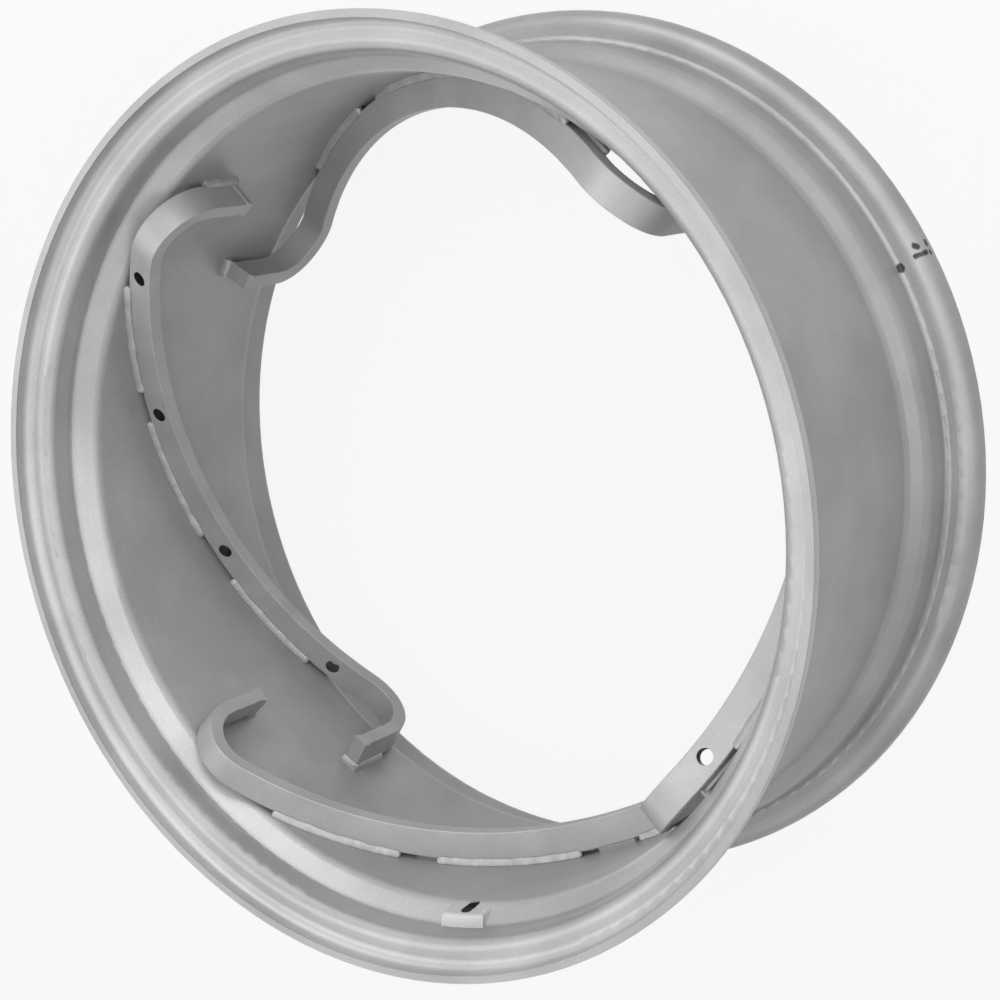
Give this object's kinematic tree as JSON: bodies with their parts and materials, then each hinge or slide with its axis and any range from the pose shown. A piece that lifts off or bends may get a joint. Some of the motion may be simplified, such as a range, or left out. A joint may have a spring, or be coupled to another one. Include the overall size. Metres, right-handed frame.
{
  "type": "tractor wheel rim",
  "caption": "Steel tractor wheel rim with a well base, curled flanges, a valve slot and spiral rails of flat bar welded inside for an adjustable wheel disc.",
  "frame": {"origin": "on the axis, in the plane of the lower flange lip", "axes": "+Z along the wheel's axis towards the flange nearer the valve slot, -X through the middle of the third rail"},
  "size_m": [0.762, 0.7619, 0.32],
  "materials": {
    "rim_paint": "satin silver-grey paint on rolled steel strip",
    "rail_paint": "satin silver-grey paint on flat bar",
    "weld_paint": "satin silver-grey paint over weld beads"
  },
  "bodies": {
    "root": {"rim_barrel": "rim_paint", "barrel_seam_weld": "weld_paint", "rail_1": "rail_paint", "rail_1_upper_stitch_welds": "weld_paint", "rail_1_lower_stitch_welds": "weld_paint", "rail_1_upper_end_weld": "weld_paint", "rail_1_lower_end_weld": "weld_paint", "rail_2": "rail_paint", "rail_2_upper_stitch_welds": "weld_paint", "rail_2_lower_stitch_welds": "weld_paint", "rail_2_upper_end_weld": "weld_paint", "rail_2_lower_end_weld": "weld_paint", "rail_3": "rail_paint", "rail_3_upper_stitch_welds": "weld_paint", "rail_3_lower_stitch_welds": "weld_paint", "rail_3_upper_end_weld": "weld_paint", "rail_3_lower_end_weld": "weld_paint", "rail_4": "rail_paint", "rail_4_upper_stitch_welds": "weld_paint", "rail_4_lower_stitch_welds": "weld_paint", "rail_4_upper_end_weld": "weld_paint", "rail_4_lower_end_weld": "weld_paint"}
  },
  "joints": []
}
